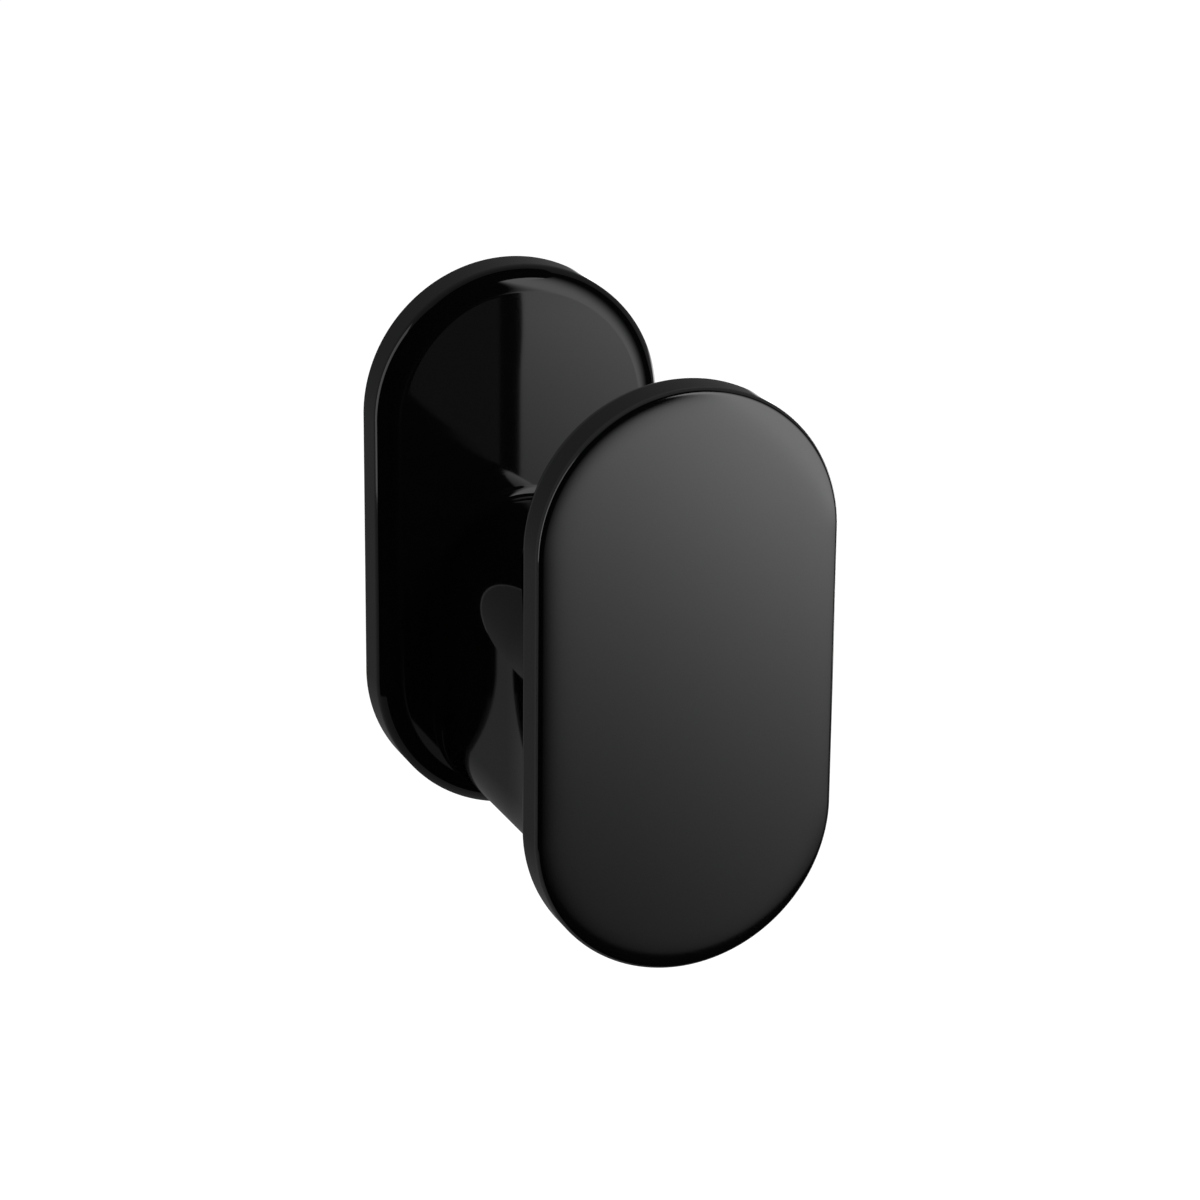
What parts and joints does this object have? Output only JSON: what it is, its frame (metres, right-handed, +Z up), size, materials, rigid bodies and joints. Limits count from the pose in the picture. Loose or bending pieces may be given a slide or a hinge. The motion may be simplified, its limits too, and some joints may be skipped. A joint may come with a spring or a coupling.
{
  "type": "glass door pull handle",
  "caption": "Gloss black cast pull for a glass door: a rounded upright base plate and an equal front plate joined by a low-set stem that flares sideways into the front plate.",
  "frame": {"origin": "middle of the base plate's back face, where the handle meets the glass", "axes": "+Z up along the plates' length, the front plate faces -Y, and the back face looks along +Y"},
  "size_m": [0.034, 0.0553, 0.065],
  "materials": {
    "black_finish": "gloss black, satin on the front face"
  },
  "bodies": {
    "root": {"pull_handle": "black_finish"}
  },
  "joints": []
}
